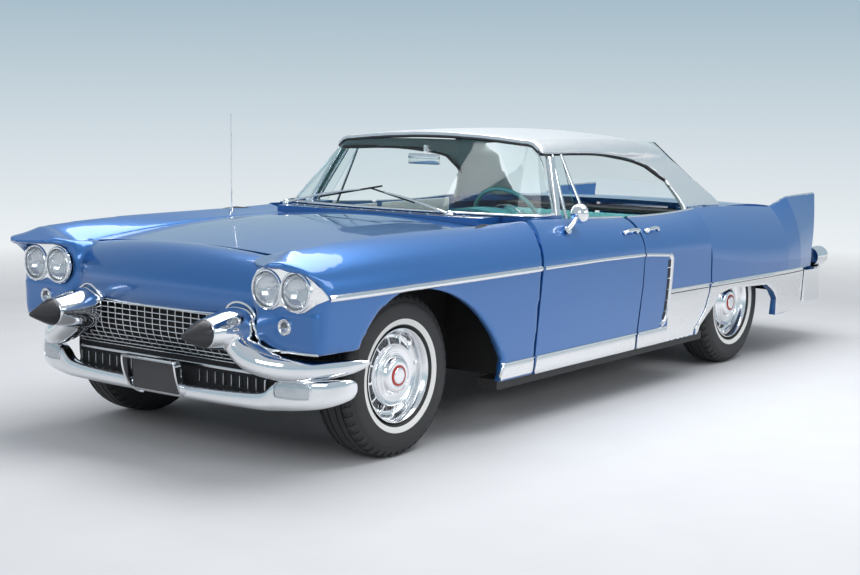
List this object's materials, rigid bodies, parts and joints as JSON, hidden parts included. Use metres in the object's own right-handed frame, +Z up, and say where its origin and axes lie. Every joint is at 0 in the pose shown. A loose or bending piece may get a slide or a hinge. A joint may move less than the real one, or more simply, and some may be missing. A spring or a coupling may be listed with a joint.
{
  "type": "four-door hardtop car of the late 1950s",
  "caption": "Long, low blue four-door hardtop car with a brushed steel roof, tail fins, chrome bumpers, and doors, lids, steering and wheels that move.",
  "frame": {"origin": "on the ground, midway along the car's length and width", "axes": "+Z up, the car's front faces -Y, its driver's (left) side is +X"},
  "size_m": [1.9906, 5.4938, 1.4849],
  "materials": {
    "black_rubber": "semi-gloss black rubber",
    "blue_paint": "metallic gloss, mid blue with sky-blue highlights",
    "chassis_black": "satin black",
    "chrome": "bright chrome",
    "engine_iron": "painted cast iron",
    "interior_trim": "turquoise enamel and vinyl",
    "lamp_glass": "fluted lamp glass",
    "plate_black": "satin black, blank",
    "red_lens": "red lens",
    "seat_cloth": "turquoise brocade and leather",
    "stainless": "brushed stainless roof",
    "tyre": "black rubber with a narrow whitewall",
    "window_glass": "clear, faintly tinted"
  },
  "bodies": {
    "body": {"antenna": "chrome", "bumper_tips": "black_rubber", "chassis_frame": "chassis_black", "cowl_panel": "blue_paint", "dashboard": "interior_trim", "engine_block": "engine_iron", "front_bumper": "chrome", "front_fenders": "blue_paint", "front_lamps": "lamp_glass", "front_plate": "plate_black", "front_seat": "seat_cloth", "front_suspension": "chassis_black", "grille": "chrome", "nose_panel": "blue_paint", "quarter_panels": "blue_paint", "radiator": "chassis_black", "rear_axle": "chassis_black", "rear_bumper": "chrome", "rear_deck": "blue_paint", "rear_seat": "seat_cloth", "roof": "stainless", "tail_lamps": "red_lens", "underbody": "chassis_black", "window_glass": "window_glass", "windshield_frame": "chrome", "wipers": "chrome"},
    "hood": {"hood": "blue_paint"},
    "trunk_lid": {"trunk_lid": "blue_paint"},
    "door_front_left": {"door_front_left": "blue_paint", "vent_window_left": "window_glass"},
    "door_front_right": {"door_front_right": "blue_paint", "vent_window_right": "window_glass"},
    "door_rear_left": {"door_rear_left": "blue_paint"},
    "door_rear_right": {"door_rear_right": "blue_paint"},
    "knuckle_left": {"knuckle_left": "chassis_black"},
    "knuckle_right": {"knuckle_right": "chassis_black"},
    "front_wheel_left": {"tyre_front_left": "tyre", "wheel_front_left": "chrome"},
    "front_wheel_right": {"tyre_front_right": "tyre", "wheel_front_right": "chrome"},
    "rear_wheel_left": {"tyre_rear_left": "tyre", "wheel_rear_left": "chrome"},
    "rear_wheel_right": {"tyre_rear_right": "tyre", "wheel_rear_right": "chrome"},
    "steering_wheel": {"steering_wheel": "interior_trim"}
  },
  "joints": [
    {"name": "hood_hinge", "type": "hinge", "parent": "body", "child": "hood", "pos_m": [0, -0.9655, 0.992], "axis": [-1, 0, 0], "range_deg": [0, 50]},
    {"name": "trunk_hinge", "type": "hinge", "parent": "body", "child": "trunk_lid", "pos_m": [0, 1.5665, 0.955], "axis": [1, 0, 0], "range_deg": [0, 70]},
    {"name": "door_front_left_hinge", "type": "hinge", "parent": "body", "child": "door_front_left", "pos_m": [0.996, -0.868, 0.6], "axis": [0, 0, -1], "range_deg": [0, 65]},
    {"name": "door_rear_left_hinge", "type": "hinge", "parent": "body", "child": "door_rear_left", "pos_m": [0.996, 0.89, 0.6], "axis": [0, 0, 1], "range_deg": [0, 65]},
    {"name": "steer_left", "type": "hinge", "parent": "body", "child": "knuckle_left", "pos_m": [0.7225, -1.812, 0.365], "axis": [0, 0, 1], "range_deg": [-30, 30]},
    {"name": "front_wheel_left_spin", "type": "hinge", "parent": "knuckle_left", "child": "front_wheel_left", "pos_m": [0.7745, -1.812, 0.365], "axis": [1, 0, 0], "continuous": true},
    {"name": "rear_wheel_left_spin", "type": "hinge", "parent": "body", "child": "rear_wheel_left", "pos_m": [0.7745, 1.388, 0.365], "axis": [1, 0, 0], "continuous": true},
    {"name": "door_front_right_hinge", "type": "hinge", "parent": "body", "child": "door_front_right", "pos_m": [-0.996, -0.868, 0.6], "axis": [0, 0, 1], "range_deg": [0, 65]},
    {"name": "door_rear_right_hinge", "type": "hinge", "parent": "body", "child": "door_rear_right", "pos_m": [-0.996, 0.89, 0.6], "axis": [0, 0, -1], "range_deg": [0, 65]},
    {"name": "steer_right", "type": "hinge", "parent": "body", "child": "knuckle_right", "pos_m": [-0.7225, -1.812, 0.365], "axis": [0, 0, 1], "range_deg": [-30, 30]},
    {"name": "front_wheel_right_spin", "type": "hinge", "parent": "knuckle_right", "child": "front_wheel_right", "pos_m": [-0.7745, -1.812, 0.365], "axis": [1, 0, 0], "continuous": true},
    {"name": "rear_wheel_right_spin", "type": "hinge", "parent": "body", "child": "rear_wheel_right", "pos_m": [-0.7745, 1.388, 0.365], "axis": [1, 0, 0], "continuous": true},
    {"name": "steering_wheel_turn", "type": "hinge", "parent": "body", "child": "steering_wheel", "pos_m": [0.39, -0.293, 0.908], "axis": [0, 0.9063, 0.4226], "range_deg": [-480, 480]}
  ],
  "couplings": [
    {"joint": "steer_right", "follows": "steer_left", "ratio": 1},
    {"joint": "steering_wheel_turn", "follows": "steer_left", "ratio": 16}
  ]
}
